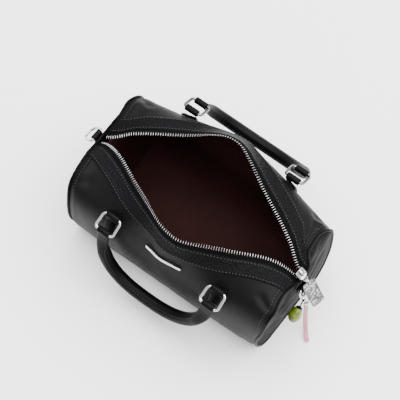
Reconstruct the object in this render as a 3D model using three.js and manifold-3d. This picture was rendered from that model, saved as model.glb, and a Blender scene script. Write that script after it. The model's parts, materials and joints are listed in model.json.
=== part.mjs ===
// A small black leather barrel satchel, standing on its bottom with its zip open.
// Millimetres. +X runs along the bag to its right end, +Y to its back and +Z up.
// The origin is on the floor, under the middle of the bottom.
import * as THREE from 'three';
import { mergeVertices } from 'three/addons/utils/BufferGeometryUtils.js';
import Module from 'manifold-3d';

const wasm = await Module();
wasm.setup();

// Driving dimensions
const bodyHalfLength = 122;
const leather = 2;
const liningThickness = 1;
const fitGap = 0.3;
const seamGap = 0.9;
const stripWidth = 16;
const tapeWidth = 4;
const tapeThickness = 0.9;
const rimReach = 23;
const toothRow = { wide: 4, high: 2.2, shortBy: 1 };
const zipOverhang = { reach: 9, fromZ: 60, fullZ: 105 };
const endTurn = { from: 0.93, depth: 2.5 };
const piping = { radius: 1.5, beyondEdge: 1.1, sunk: 0.2 };
const endPanel = { rimInset: 4.3, bulge: 8, centreZ: 60, lift: 0.5, wallShare: 0.86, rimShort: 2 };
const endLining = { bulge: 6, clearance: 1.2 };
const wire = { radius: 1.6, eyeWall: 1.9 };
const ring = { between: 22, reach: 18, corner: 3.5 };
const tab = { width: 16, runLength: 0.19, thickness: 3, standOff: 0.5 };
const handle = {
  drop: 70, width: 13, depth: 12.5, endWidth: 15, endDepth: 4,
  taper: 0.16, flatUntil: 0.03, squareness: 0.8, roundness: 0.85, sectionSquareness: 0.8,
};
const dRing = { radius: 1.3, halfWidth: 9, reach: 16, corner: 2.5, eyeWall: 1.7 };
const dTab = {
  width: 12, thickness: 2.4, standOff: 1, panelSteps: [0, 0.06, 0.13, 0.2],
};
const dPlaces = {
  left: { y: 0, drop: 2.5, panelShare: 0.88, down: 40 },
  right: { y: -4, drop: 10, panelShare: 0.73, down: 78 },
};
const nameBar = {
  fromStation: -0.155, toStation: 0.22, leftRun: 0.825, rightRun: 0.855, runWide: 0.025,
  thick: 1.5, standOff: 0.4,
};
const slider = {
  fromStation: 0.93, toStation: 0.995, long: 10, halfWidth: 5.5, high: 3, above: 3,
  lugWall: 1.2, lugHigh: 1.2, noseCorner: 3, tailCorner: 1.5,
};
const jumpRing = { radius: 0.7, loop: 3.6 };
const pullPlate = { wide: 16, long: 30, thick: 1.2, corner: 3, hole: 3, down: 50, aside: -12 };
const charmLink = { radius: 0.8, loop: 4, long: 26, eyeWall: 0.9, eyeLong: 2 };
const ribbon = { wide: 5, thick: 1, eyeAngle: -60, heading: -34.5 };
const bead = { across: 13, tall: 20, cord: 1, cordLong: 6, lean: 48, eyeAngle: -122 };

// The ribbon's route from its eye to the floor: distance out along its heading, and drop
const ribbonRoute = [
  [0, 0], [0, 5.5], [0.2, 11], [0.5, 16.5], [1, 22], [1.7, 27.4], [2.6, 32.6], [3.7, 37.7],
  [5.2, 42.6], [7.1, 47], [9.5, 50.6], [12.4, 53.3], [15.8, 55], [19.5, 55.9], [23, 56.2],
];

// Facets: sides of wires and eyes, points of a rounded corner, rings and spokes of the end discs
const facets = {
  wire: 6, eye: 6, ringCorner: 2, corner: 3, jumpRing: 7, handle: 8, handleSteps: 20,
  tabAcross: 2, tabAlong: 5, barAlong: 6, cordSteps: 4, beadAround: 12, beadUp: 7,
  outlineHalf: 18, discRings: 3, liningHalf: 14, liningRings: 3,
};

// Where the handles are carried. The hinge is the axis of the ring bars in the tab folds, as
// distance from the middle plane and height. The angles are measured down from level, and
// handleAside is how far the arch leans along the bag from the middle of its bars.
const carriers = {
  front: {
    side: -1, tabX: [-63, 72], hingeY: 65.8, hingeZ: 111.5, ringDown: 25, handleDown: 80, handleAside: -4.5,
  },
  back: {
    side: 1, tabX: [-70, 62], hingeY: 79, hingeZ: 119.7, ringDown: 28, handleDown: 68, handleAside: 0,
  },
};

// One row for each section along the bag, station -1 at the left end seam and 1 at the right.
// flat: half width of the flat bottom. bellyY, bellyZ: the widest place of the wall.
// frontY, frontZ, backY, backZ: the seam between wall and top strip.
// frontTilt, backTilt: the strip's lean towards the mouth from upright, in degrees.
// rise, turn: how full the wall is above the belly and below the seam.
const columns = [
  'station', 'flat', 'bellyY', 'bellyZ',
  'frontY', 'frontZ', 'frontTilt', 'backY', 'backZ', 'backTilt', 'rise', 'turn',
];
const sections = [
  [-1.00, 40, 75, 60, 23.4, 117, 113, 23.4, 118, 113, 0.62, 0.50],
  [-0.80, 41, 75.5, 59, 32, 121, 85, 42.5, 123, 92, 0.62, 0.45],
  [-0.45, 42, 75, 58, 51, 119, 60, 66, 127, 71, 0.50, 0.35],
  [-0.14, 42, 74, 58, 60, 122, 24, 79, 127, 37, 0.42, 0.32],
  [0.00, 42, 74, 58, 65, 122, 24.5, 81.5, 126, 37.5, 0.42, 0.32],
  [0.14, 42, 74, 58, 64, 122, 21.5, 77.5, 127, 47, 0.42, 0.32],
  [0.45, 42, 73.5, 58, 52, 119, 56.5, 64, 127, 78.5, 0.50, 0.35],
  [0.80, 41, 72.5, 59, 31.5, 121, 84, 41, 123, 91, 0.62, 0.45],
  [1.00, 40, 71, 60, 23.4, 116, 113, 23.4, 117, 113, 0.62, 0.50],
];
// Shares of the wall's run taken by the flat bottom and by the lower curve
const wallRuns = { flat: 0.2, lower: 0.52 };
const circleFactor = 0.5523;

// Colours and finishes
const finishes = {
  leather: { color: 0x1d1d1f, roughness: 0.5, metalness: 0 },
  lining: { color: 0x2a1c1c, roughness: 0.85, metalness: 0 },
  tape: { color: 0x141415, roughness: 0.8, metalness: 0 },
  metal: { color: 0xcfd0d2, roughness: 0.22, metalness: 1 },
  bead: { color: 0x8aa63a, roughness: 0.3, metalness: 0 },
  ribbon: { color: 0xe9c9cd, roughness: 0.6, metalness: 0 },
};

const satchel = new THREE.Group();

function addPiece(name, geometry, finish) {
  const mesh = new THREE.Mesh(geometry, new THREE.MeshStandardMaterial(finishes[finish]));
  mesh.name = name;
  satchel.add(mesh);
  return mesh;
}

// Geometry helpers

function facingOut(positions, faces) {
  let volume = 0;
  for (const [a, b, c] of faces) {
    volume += positions[a].dot(new THREE.Vector3().crossVectors(positions[b], positions[c]));
  }
  const turned = volume < 0 ? faces.map(([a, b, c]) => [a, c, b]) : faces;
  const geometry = new THREE.BufferGeometry().setFromPoints(positions);
  geometry.setIndex(turned.flat());
  return geometry;
}

// A wall between two faces of one patch. pointAt takes two shares from 0 to 1 and a layer, 0 or 1.
function wall(pointAt, rows, cols) {
  const positions = [];
  const faces = [];
  const at = (layer, i, j) => (layer * (rows + 1) + i) * (cols + 1) + j;
  const quad = (a, b, c, d) => faces.push([a, b, c], [a, c, d]);
  for (let layer = 0; layer < 2; layer += 1) {
    for (let i = 0; i <= rows; i += 1) {
      for (let j = 0; j <= cols; j += 1) {
        positions.push(pointAt(i / rows, j / cols, layer));
      }
    }
  }
  for (let i = 0; i < rows; i += 1) {
    for (let j = 0; j < cols; j += 1) {
      quad(at(0, i, j), at(0, i + 1, j), at(0, i + 1, j + 1), at(0, i, j + 1));
      quad(at(1, i, j), at(1, i, j + 1), at(1, i + 1, j + 1), at(1, i + 1, j));
    }
  }
  for (let i = 0; i < rows; i += 1) {
    quad(at(1, i, 0), at(1, i + 1, 0), at(0, i + 1, 0), at(0, i, 0));
    quad(at(0, i, cols), at(0, i + 1, cols), at(1, i + 1, cols), at(1, i, cols));
  }
  for (let j = 0; j < cols; j += 1) {
    quad(at(0, 0, j), at(0, 0, j + 1), at(1, 0, j + 1), at(1, 0, j));
    quad(at(1, rows, j), at(1, rows, j + 1), at(0, rows, j + 1), at(0, rows, j));
  }
  return facingOut(positions, faces);
}

// A section carried along a path, with its second axis kept near the given up direction.
// sectionAt takes the share of the path and gives points around the section.
function sweep(path, upAt, sectionAt, closed) {
  const count = path.length;
  const positions = [];
  const faces = [];
  const sides = sectionAt(0).length;
  for (let i = 0; i < count; i += 1) {
    const before = closed ? path[(i + count - 1) % count] : path[Math.max(i - 1, 0)];
    const after = closed ? path[(i + 1) % count] : path[Math.min(i + 1, count - 1)];
    const along = new THREE.Vector3().subVectors(after, before).normalize();
    const across = new THREE.Vector3().crossVectors(along, upAt(i)).normalize();
    const up = new THREE.Vector3().crossVectors(across, along);
    for (const { x, y } of sectionAt(i / (count - 1))) {
      positions.push(path[i].clone().addScaledVector(across, x).addScaledVector(up, y));
    }
  }
  const laps = closed ? count : count - 1;
  for (let i = 0; i < laps; i += 1) {
    const here = i * sides;
    const next = ((i + 1) % count) * sides;
    for (let k = 0; k < sides; k += 1) {
      const turn = (k + 1) % sides;
      faces.push([here + k, next + k, next + turn], [here + k, next + turn, here + turn]);
    }
  }
  if (!closed) {
    const last = (count - 1) * sides;
    for (let k = 1; k < sides - 1; k += 1) {
      faces.push([0, k, k + 1], [last, last + k + 1, last + k]);
    }
  }
  return facingOut(positions, faces);
}

function oval(width, depth, sides, squareness = 1) {
  return Array.from({ length: sides }, (_, k) => {
    const angle = ((k + 0.5) / sides) * Math.PI * 2;
    const power = (value) => Math.sign(value) * Math.abs(value) ** squareness;
    return new THREE.Vector2((width / 2) * power(Math.cos(angle)), (depth / 2) * power(Math.sin(angle)));
  });
}

const roundWire = (radius, sides) => oval(radius * 2, radius * 2, sides);

function solid(geometry) {
  const bare = geometry.clone();
  bare.deleteAttribute('normal');
  bare.deleteAttribute('uv');
  const merged = mergeVertices(bare);
  return new wasm.Manifold(new wasm.Mesh({
    numProp: 3,
    vertProperties: new Float32Array(merged.attributes.position.array),
    triVerts: new Uint32Array(merged.index.array),
  }));
}

function joined(geometries) {
  const whole = geometries.map(solid).reduce((sum, next) => sum.add(next)).getMesh();
  const geometry = new THREE.BufferGeometry();
  geometry.setAttribute('position', new THREE.BufferAttribute(whole.vertProperties, 3));
  geometry.setIndex(new THREE.BufferAttribute(whole.triVerts, 1));
  return geometry;
}

// A leather or metal eye: a short tube whose axis runs along Z before it is placed
function eye(boreRadius, wallThickness, length) {
  const outline = new THREE.Shape().absarc(0, 0, boreRadius + wallThickness, 0, Math.PI * 2);
  outline.holes.push(new THREE.Path().absarc(0, 0, boreRadius, 0, Math.PI * 2, true));
  const geometry = new THREE.ExtrudeGeometry(outline, {
    depth: length, bevelEnabled: false, curveSegments: facets.eye,
  });
  return geometry.translate(0, 0, -length / 2);
}

// The bag's skin

const interpolant = new THREE.CubicInterpolant(
  sections.map((row) => row[0]), sections.flat(), columns.length,
);

function sectionAt(station, side) {
  const row = interpolant.evaluate(THREE.MathUtils.clamp(station, -1, 1));
  const value = Object.fromEntries(columns.map((name, index) => [name, row[index]]));
  const face = side < 0 ? 'front' : 'back';
  return {
    ...value,
    seam: new THREE.Vector2(value[`${face}Y`], value[`${face}Z`]),
    tilt: THREE.MathUtils.degToRad(value[`${face}Tilt`]),
  };
}

function leanDirection(tilt) {
  return new THREE.Vector2(-Math.sin(tilt), Math.cos(tilt));
}

// Wall curves of one half section, in distance from the middle plane and height
function wallCurves(station, side) {
  const { flat, bellyY, bellyZ, seam, tilt, rise, turn } = sectionAt(station, side);
  const belly = new THREE.Vector2(bellyY, bellyZ);
  const reach = seam.distanceTo(belly);
  const seamLean = 0.85;
  return {
    seam,
    bottom: new THREE.LineCurve(new THREE.Vector2(0, 0), new THREE.Vector2(flat, 0)),
    lower: new THREE.CubicBezierCurve(
      new THREE.Vector2(flat, 0),
      new THREE.Vector2(flat + circleFactor * (bellyY - flat), 0),
      new THREE.Vector2(bellyY, bellyZ * (1 - circleFactor)),
      belly,
    ),
    upper: new THREE.CubicBezierCurve(
      belly,
      new THREE.Vector2(bellyY, bellyZ + rise * reach),
      seam.clone().addScaledVector(leanDirection(tilt * seamLean), -turn * reach),
      seam,
    ),
  };
}

// The skin turns in at both ends, where the wall meets the piping
function endInset(station) {
  return endTurn.depth * THREE.MathUtils.smoothstep(Math.abs(station), endTurn.from, 1);
}

// The zip's ends overhang the end seams
function overhang(station, fromMiddle, height, bellyY) {
  const { reach, fromZ, fullZ } = zipOverhang;
  const up = THREE.MathUtils.clamp((height - fromZ) / (fullZ - fromZ), 0, 1);
  const inward = 1 - Math.min(fromMiddle / bellyY, 1);
  return reach * Math.sign(station) * Math.abs(station) ** 3 * up * inward;
}

function placed(station, side, point, tangent, offset) {
  const depth = offset - endInset(station);
  const { bellyY } = sectionAt(station, side);
  const x = station * bodyHalfLength + overhang(station, point.x, point.y, bellyY);
  return new THREE.Vector3(x, side * (point.x + tangent.y * depth), point.y - tangent.x * depth);
}

// A place on the wall: run 0 is the middle of the bottom and run 1 the top seam
function onWall(station, side, run, offset) {
  const { bottom, lower, upper } = wallCurves(station, side);
  const { flat, lower: lowerEnd } = wallRuns;
  let curve = upper;
  let share = (run - lowerEnd) / (1 - lowerEnd);
  if (run < flat) {
    curve = bottom;
    share = run / flat;
  } else if (run < lowerEnd) {
    curve = lower;
    share = (run - flat) / (lowerEnd - flat);
  }
  return placed(station, side, curve.getPoint(share), curve.getTangent(share), offset);
}

// A place on the top strip or the zip tape, at a distance from the seam towards the mouth
function onTop(station, side, across, offset) {
  const { seam, tilt } = sectionAt(station, side);
  const lean = leanDirection(tilt);
  return placed(station, side, seam.clone().addScaledVector(lean, across), lean, offset);
}

// From the front seam (share 0) under the bottom to the back seam (share 1)
function aroundWall(station, share, offset, topMargin) {
  const side = share < 0.5 ? -1 : 1;
  const run = Math.abs(share - 0.5) * 2 * topMargin;
  return onWall(station, side, run, offset);
}

const between = (from, to, share) => THREE.MathUtils.lerp(from, to, share);

// Stations of the wall's folds, closer together towards the ends. All layers share them.
const stationSteps = 18;
const aroundSteps = 24;
const wallEdge = 1 - (piping.radius / 4 + fitGap) / bodyHalfLength;
const stationAt = (share) => wallEdge * Math.sin((share - 0.5) * Math.PI);

// Body wall, from seam to seam around the bottom
const seamMargin = 0.997;
addPiece('body_wall', wall(
  (i, j, layer) => aroundWall(stationAt(i), j, -leather * layer, seamMargin),
  stationSteps, aroundSteps,
), 'leather');

// Lining of the wall, which stops short of both ends
const liningFold = 2;
const liningShare = (i) => between(liningFold / stationSteps, 1 - liningFold / stationSteps, i);
addPiece('lining_body', wall(
  (i, j, layer) => aroundWall(
    stationAt(liningShare(i)), j, -leather - fitGap - liningThickness * layer, seamMargin,
  ),
  stationSteps - 2 * liningFold, aroundSteps,
), 'lining');

// Top strips, zip tapes and rows of teeth, one of each along the front and the back of the mouth
const rowSegments = stationSteps - 2 * toothRow.shortBy;
const sides = { front: -1, back: 1 };
for (const [name, side] of Object.entries(sides)) {
  addPiece(`top_strip_${name}`, wall(
    (i, j, layer) => onTop(stationAt(i), side, between(seamGap, stripWidth, j), -leather * layer),
    stationSteps, 2,
  ), 'leather');
  const tapeFrom = stripWidth + fitGap;
  addPiece(`zip_tape_${name}`, wall(
    (i, j, layer) => onTop(
      stationAt(i), side, between(tapeFrom, tapeFrom + tapeWidth, j), -tapeThickness * layer,
    ),
    stationSteps, 1,
  ), 'tape');
  const rowStation = (i) => stationAt((i + toothRow.shortBy) / stationSteps);
  const rowReach = tapeFrom + tapeWidth + toothRow.wide / 2 + 2 * fitGap;
  const rowPath = Array.from({ length: rowSegments + 1 }, (_, i) => (
    onTop(rowStation(i), side, rowReach, -tapeThickness / 2)
  ));
  const rowUp = (i) => onTop(rowStation(i), side, rowReach, 1)
    .sub(onTop(rowStation(i), side, rowReach, 0));
  addPiece(`zip_teeth_${name}`, sweep(
    rowPath, rowUp, () => oval(toothRow.wide * Math.SQRT2, toothRow.high * Math.SQRT2, 4), false,
  ), 'metal');
}

// End panels: a round-cornered leather face that bulges outward, with its own lining
// Closed outline of an end seam, front rim to bottom to back rim, at a depth under the skin
function endOutline(end, depth, halfCount) {
  const offset = endTurn.depth - depth;
  const half = (side) => {
    const { wallShare, rimShort } = endPanel;
    return Array.from({ length: halfCount }, (_, k) => {
      const run = (k + 0.5) / (halfCount - 0.5);
      return run < wallShare
        ? onWall(end, side, run / wallShare, offset)
        : onTop(end, side, ((run - wallShare) / (1 - wallShare)) * (rimReach - rimShort), offset);
    });
  };
  return [...half(-1).reverse(), ...half(1)];
}

// A disc across an end outline: rings of points from the rim to the centre, in two layers
function endDisc(end, depth, halfCount, rimX, bulge, thickness, rings) {
  const rim = endOutline(end, depth, halfCount);
  const spokes = rim.length;
  const positions = [];
  const faces = [];
  for (const layer of [0, 1]) {
    for (let r = 0; r < rings; r += 1) {
      const share = 1 - r / rings;
      for (const point of rim) {
        const lean = point.x - end * bodyHalfLength;
        const out = rimX + bulge * (1 - share ** 2) - thickness * layer;
        positions.push(new THREE.Vector3(
          end * out + lean * share ** 3,
          point.y * share,
          between(endPanel.centreZ, point.z, share),
        ));
      }
    }
    positions.push(new THREE.Vector3(end * (rimX + bulge - thickness * layer), 0, endPanel.centreZ));
  }
  const layerSize = rings * spokes + 1;
  const at = (layer, r, k) => layer * layerSize + r * spokes + (k % spokes);
  for (let k = 0; k < spokes; k += 1) {
    for (let r = 0; r < rings - 1; r += 1) {
      faces.push([at(0, r, k), at(0, r, k + 1), at(0, r + 1, k + 1)]);
      faces.push([at(0, r, k), at(0, r + 1, k + 1), at(0, r + 1, k)]);
      faces.push([at(1, r, k), at(1, r + 1, k + 1), at(1, r, k + 1)]);
      faces.push([at(1, r, k), at(1, r + 1, k), at(1, r + 1, k + 1)]);
    }
    const centre = layerSize - 1;
    faces.push([at(0, rings - 1, k), at(0, rings - 1, k + 1), centre]);
    faces.push([at(1, rings - 1, k + 1), at(1, rings - 1, k), layerSize + centre]);
    faces.push([at(0, 0, k + 1), at(0, 0, k), at(1, 0, k)]);
    faces.push([at(0, 0, k + 1), at(1, 0, k), at(1, 0, k + 1)]);
  }
  return facingOut(positions, faces);
}

const ends = { left: -1, right: 1 };
const pipingX = bodyHalfLength + piping.beyondEdge;
for (const [name, end] of Object.entries(ends)) {
  addPiece(`end_panel_${name}`, endDisc(
    end, endPanel.rimInset, facets.outlineHalf,
    pipingX + endPanel.lift, endPanel.bulge, leather, facets.discRings,
  ), 'leather');
  const liningDepth = leather + liningThickness + endLining.clearance;
  addPiece(`lining_end_${name}`, endDisc(
    end, liningDepth, facets.liningHalf, bodyHalfLength * stationAt(liningShare(1)),
    endLining.bulge, liningThickness, facets.liningRings,
  ), 'lining');
  const path = endOutline(end, endTurn.depth - piping.sunk, facets.outlineHalf);
  for (const point of path) {
    point.x += end * piping.beyondEdge;
  }
  addPiece(`piping_${name}`, sweep(
    path, () => new THREE.Vector3(1, 0, 0), () => roundWire(piping.radius, facets.wire), true,
  ), 'leather');
}

// Handles: leather tabs on the walls, metal rings in the tab folds and padded arches on the rings
const bore = wire.radius + fitGap;

function rounded(halfWidth, length, corner, near) {
  const outline = new THREE.Path();
  outline.moveTo(-halfWidth + near, 0);
  outline.lineTo(halfWidth - near, 0);
  outline.absarc(halfWidth - near, near, near, -Math.PI / 2, 0);
  outline.absarc(halfWidth - corner, length - corner, corner, 0, Math.PI / 2);
  outline.absarc(-halfWidth + corner, length - corner, corner, Math.PI / 2, Math.PI);
  outline.absarc(-halfWidth + near, near, near, Math.PI, Math.PI * 1.5);
  return outline;
}

// Points of a flat outline on a plane through an origin, each point kept once
function onPlane(outline, divisions, origin, across, outward) {
  const points = outline.getPoints(divisions).map((point) => (
    origin.clone().addScaledVector(across, point.x).addScaledVector(outward, point.y)
  ));
  const apart = 0.01;
  return points.filter((point, i) => point.distanceTo(points[(i + 1) % points.length]) > apart);
}

function wireLoop(outline, divisions, origin, across, outward, radius) {
  const normal = new THREE.Vector3().crossVectors(across, outward);
  const path = onPlane(outline, divisions, origin, across, outward);
  return sweep(path, () => normal, () => roundWire(radius, facets.wire), true);
}

function nearestRun(station, side, place) {
  const steps = 200;
  const runs = Array.from({ length: steps + 1 }, (_, k) => k / steps);
  const away = (run) => onWall(station, side, run, 0).distanceTo(place);
  return runs.reduce((best, run) => (away(run) < away(best) ? run : best));
}

function handleTab(carrier, x) {
  const { side, hingeY, hingeZ } = carrier;
  const hinge = new THREE.Vector3(x, side * hingeY, hingeZ);
  const top = nearestRun(x / bodyHalfLength, side, hinge);
  const tongue = wall((i, j, layer) => onWall(
    (x + (i - 0.5) * tab.width) / bodyHalfLength, side,
    between(top, top - tab.runLength, j), tab.standOff + tab.thickness * layer,
  ), facets.tabAcross, facets.tabAlong);
  const fold = eye(bore, wire.eyeWall, tab.width).rotateY(Math.PI / 2);
  return joined([tongue, fold.translate(hinge.x, hinge.y, hinge.z)]);
}

// The arch of a handle between two bars, flat where it folds around them
function handleArch(from, to, outward, aside) {
  const middle = from.clone().add(to).multiplyScalar(0.5);
  const across = new THREE.Vector3(1, 0, 0);
  const normal = new THREE.Vector3().crossVectors(across, outward);
  const halfSpan = (to.x - from.x) / 2;
  const steps = facets.handleSteps;
  const startDepth = bore + wire.eyeWall / 2;
  const path = Array.from({ length: steps + 1 }, (_, k) => {
    const angle = (k / steps) * Math.PI;
    const reach = -halfSpan * Math.sign(Math.cos(angle)) * Math.abs(Math.cos(angle)) ** handle.squareness;
    const depth = between(startDepth, handle.drop, Math.sin(angle) ** handle.roundness);
    const lean = aside * Math.sin(angle) ** handle.roundness;
    return middle.clone().addScaledVector(across, reach + lean).addScaledVector(outward, depth);
  });
  const sectionOf = (share) => {
    const full = THREE.MathUtils.smoothstep(Math.min(share, 1 - share), handle.flatUntil, handle.taper);
    return oval(
      between(handle.endWidth, handle.width, full), between(handle.endDepth, handle.depth, full),
      facets.handle, handle.sectionSquareness,
    );
  };
  const arch = sweep(path, () => normal, sectionOf, false);
  const folds = [from, to].map((bar) => (
    eye(bore, wire.eyeWall, handle.endWidth).rotateY(Math.PI / 2).translate(bar.x, bar.y, bar.z)
  ));
  return joined([arch, ...folds]);
}

function directionDown(side, degrees) {
  const angle = THREE.MathUtils.degToRad(degrees);
  return new THREE.Vector3(0, side * Math.cos(angle), -Math.sin(angle));
}

for (const [name, carrier] of Object.entries(carriers)) {
  const { side, tabX, hingeY, hingeZ, ringDown, handleDown, handleAside } = carrier;
  const ringOut = directionDown(side, ringDown);
  const bars = tabX.map((x, index) => {
    const hand = ['left', 'right'][index];
    const hinge = new THREE.Vector3(x, side * hingeY, hingeZ);
    addPiece(`tab_${name}_${hand}`, handleTab(carrier, x), 'leather');
    addPiece(`ring_${name}_${hand}`, wireLoop(
      rounded(ring.between / 2, ring.reach, ring.corner, ring.corner), facets.ringCorner,
      hinge, new THREE.Vector3(1, 0, 0), ringOut, wire.radius,
    ), 'metal');
    return hinge.addScaledVector(ringOut, ring.reach);
  });
  const arch = handleArch(...bars, directionDown(side, handleDown), handleAside);
  addPiece(`handle_${name}`, arch, 'leather');
}

// A plain metal bar on the front wall
addPiece('front_bar', wall((i, j, layer) => onWall(
  between(nameBar.fromStation, nameBar.toStation, i), -1,
  between(nameBar.leftRun, nameBar.rightRun, i) + nameBar.runWide * j,
  nameBar.standOff + nameBar.thick * layer,
), facets.barAlong, 1), 'metal');

// D-rings at the zip's ends, each in a leather tab sewn on the end panel
const dBore = dRing.radius + fitGap;
const dEyes = {};
for (const [name, end] of Object.entries(ends)) {
  const top = onTop(end, 1, rimReach, endTurn.depth);
  const pipeFace = Math.abs(top.x) + piping.beyondEdge + piping.radius;
  const eyeX = pipeFace + dBore + dRing.eyeWall + 2 * fitGap;
  const { y: middleY, drop, panelShare, down: downDegrees } = dPlaces[name];
  const eyeZ = top.z - drop;
  const faceAt = (share) => {
    const lean = Math.abs(top.x) - bodyHalfLength;
    return new THREE.Vector2(
      pipingX + endPanel.lift + endPanel.bulge * (1 - share ** 2) + lean * share ** 3,
      between(endPanel.centreZ, top.z, share),
    );
  };
  const under = dTab.panelSteps.map((step) => faceAt(panelShare - step))
    .map((point) => point.add(new THREE.Vector2(dTab.standOff, 0)));
  const over = under.map((point) => point.clone().add(new THREE.Vector2(dTab.thickness, 0)));
  const middleOfWall = dBore + dRing.eyeWall / 2;
  const outline = new THREE.Shape([
    ...under,
    ...over.slice(1).reverse(),
    new THREE.Vector2(eyeX, eyeZ - middleOfWall),
    new THREE.Vector2(eyeX - middleOfWall, eyeZ),
  ]);
  const tongue = new THREE.ExtrudeGeometry(outline, { depth: dTab.width, bevelEnabled: false })
    .translate(0, 0, -dTab.width / 2);
  const fold = eye(dBore, dRing.eyeWall, dTab.width).translate(eyeX, eyeZ, 0);
  const piece = joined([tongue, fold]).rotateX(Math.PI / 2);
  const mesh = addPiece(`d_tab_${name}`, piece, 'leather');
  mesh.rotation.z = end < 0 ? Math.PI : 0;
  mesh.position.y = middleY;
  const down = THREE.MathUtils.degToRad(downDegrees);
  const outward = new THREE.Vector3(end * Math.cos(down), 0, -Math.sin(down));
  const hinge = new THREE.Vector3(end * eyeX, middleY, eyeZ);
  addPiece(`d_ring_${name}`, wireLoop(
    rounded(dRing.halfWidth, dRing.reach, dRing.halfWidth, dRing.corner), facets.corner,
    hinge, new THREE.Vector3(0, 1, 0), outward, dRing.radius,
  ), 'metal');
  dEyes[name] = { hinge, outward };
}

// Zip slider on the ends of the two rows, with a jump ring and a blank pull plate
const rowMiddle = (station) => {
  const front = onTop(station, -1, rimReach, 0);
  return front.add(onTop(station, 1, rimReach, 0)).multiplyScalar(0.5);
};
const sliderTail = rowMiddle(slider.fromStation);
const sliderNose = rowMiddle(slider.toStation);
const sliderRun = new THREE.Vector3().subVectors(sliderNose, sliderTail).normalize();
const sliderUp = new THREE.Vector3(-sliderRun.z, 0, sliderRun.x);
const sliderLean = Math.atan2(-sliderRun.z, sliderRun.x);
const sliderSeat = sliderNose.clone().addScaledVector(sliderUp, slider.above);
const sliderOutline = rounded(
  slider.halfWidth, slider.long, slider.noseCorner, slider.tailCorner,
);
const sliderBody = new THREE.ExtrudeGeometry(new THREE.Shape(sliderOutline.getPoints(facets.corner)), {
  depth: slider.high, bevelEnabled: false,
}).rotateZ(-Math.PI / 2).translate(-slider.long, 0, 0);
const jumpBore = jumpRing.radius + 4 * fitGap;
const lugReach = jumpBore + slider.lugWall / 2;
const sliderLug = eye(jumpBore, slider.lugWall, slider.lugHigh).translate(lugReach, 0, slider.high / 2);
const sliderMesh = addPiece('zip_slider', joined([sliderBody, sliderLug]), 'metal');
sliderMesh.position.copy(sliderSeat);
sliderMesh.rotation.y = sliderLean;

const flatAcross = new THREE.Vector3(1, 0, 0);
const flatUp = new THREE.Vector3(0, 0, 1);
function jumpLoop(centre, loop, radius) {
  const circle = new THREE.Path().absarc(0, 0, loop, 0, Math.PI * 2);
  return wireLoop(circle, facets.jumpRing, centre, flatAcross, flatUp, radius);
}

// The pull hangs from the slider's lug, turned aside over the end seam
const pull = new THREE.Group();
pull.position.copy(sliderSeat)
  .addScaledVector(sliderRun, lugReach)
  .addScaledVector(sliderUp, slider.high / 2);
pull.rotation.z = THREE.MathUtils.degToRad(pullPlate.aside);
satchel.add(pull);
const jumpCentre = new THREE.Vector3(jumpRing.loop, 0, 0);
pull.add(addPiece('pull_ring', jumpLoop(jumpCentre, jumpRing.loop, jumpRing.radius), 'metal'));
const plateDown = THREE.MathUtils.degToRad(pullPlate.down);
const plateOut = new THREE.Vector3(Math.cos(plateDown), 0, -Math.sin(plateDown));
const plateOutline = new THREE.Shape(
  rounded(pullPlate.wide / 2, pullPlate.long, pullPlate.corner, pullPlate.corner)
    .getPoints(facets.corner),
);
plateOutline.holes.push(
  new THREE.Path().absarc(0, pullPlate.hole, jumpRing.radius + 2 * fitGap, 0, Math.PI * 2, true),
);
const plate = new THREE.ExtrudeGeometry(plateOutline, {
  depth: pullPlate.thick, bevelEnabled: false, curveSegments: facets.eye,
}).translate(0, -pullPlate.hole, -pullPlate.thick / 2).rotateZ(-Math.PI / 2);
const plateMesh = addPiece('pull_plate', plate, 'metal');
plateMesh.position.copy(jumpCentre).addScaledVector(plateOut, jumpRing.loop);
plateMesh.rotation.y = plateDown;
pull.add(plateMesh);

// Charms on the right D-ring: a long link, a green bead on a cord and a pink ribbon
const rightRing = dEyes.right;
const linkTop = rightRing.hinge.clone().addScaledVector(rightRing.outward, dRing.reach);
linkTop.z += dRing.radius + fitGap + charmLink.radius;
addPiece('charm_link', wireLoop(
  rounded(charmLink.loop, charmLink.long, charmLink.loop, charmLink.loop), facets.ringCorner,
  linkTop, flatAcross, flatUp.clone().negate(), charmLink.radius,
), 'metal');
const linkFoot = linkTop.clone().addScaledVector(flatUp, charmLink.loop - charmLink.long);

function charmEye(degrees) {
  const angle = THREE.MathUtils.degToRad(degrees);
  const place = linkFoot.clone()
    .addScaledVector(flatAcross, charmLink.loop * Math.cos(angle))
    .addScaledVector(flatUp, charmLink.loop * Math.sin(angle));
  const loop = eye(charmLink.radius + fitGap, charmLink.eyeWall, charmLink.eyeLong).rotateY(-angle);
  return { place, loop: loop.translate(place.x, place.y, place.z) };
}

const eyeDepth = charmLink.radius + 2 * fitGap;
const ribbonEye = charmEye(ribbon.eyeAngle);
const ribbonHeading = flatAcross.clone()
  .applyAxisAngle(flatUp, THREE.MathUtils.degToRad(ribbon.heading));
const ribbonAcross = new THREE.Vector3().crossVectors(flatUp, ribbonHeading);
const ribbonPath = ribbonRoute.map(([out, drop]) => (
  ribbonEye.place.clone().addScaledVector(ribbonHeading, out).addScaledVector(flatUp, -eyeDepth - drop)
));
const ribbonSection = oval(ribbon.thick * Math.SQRT2, ribbon.wide * Math.SQRT2, 4);
const ribbonStrip = sweep(ribbonPath, () => ribbonAcross, () => ribbonSection, false);
addPiece('pink_ribbon', joined([ribbonEye.loop, ribbonStrip]), 'ribbon');

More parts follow.
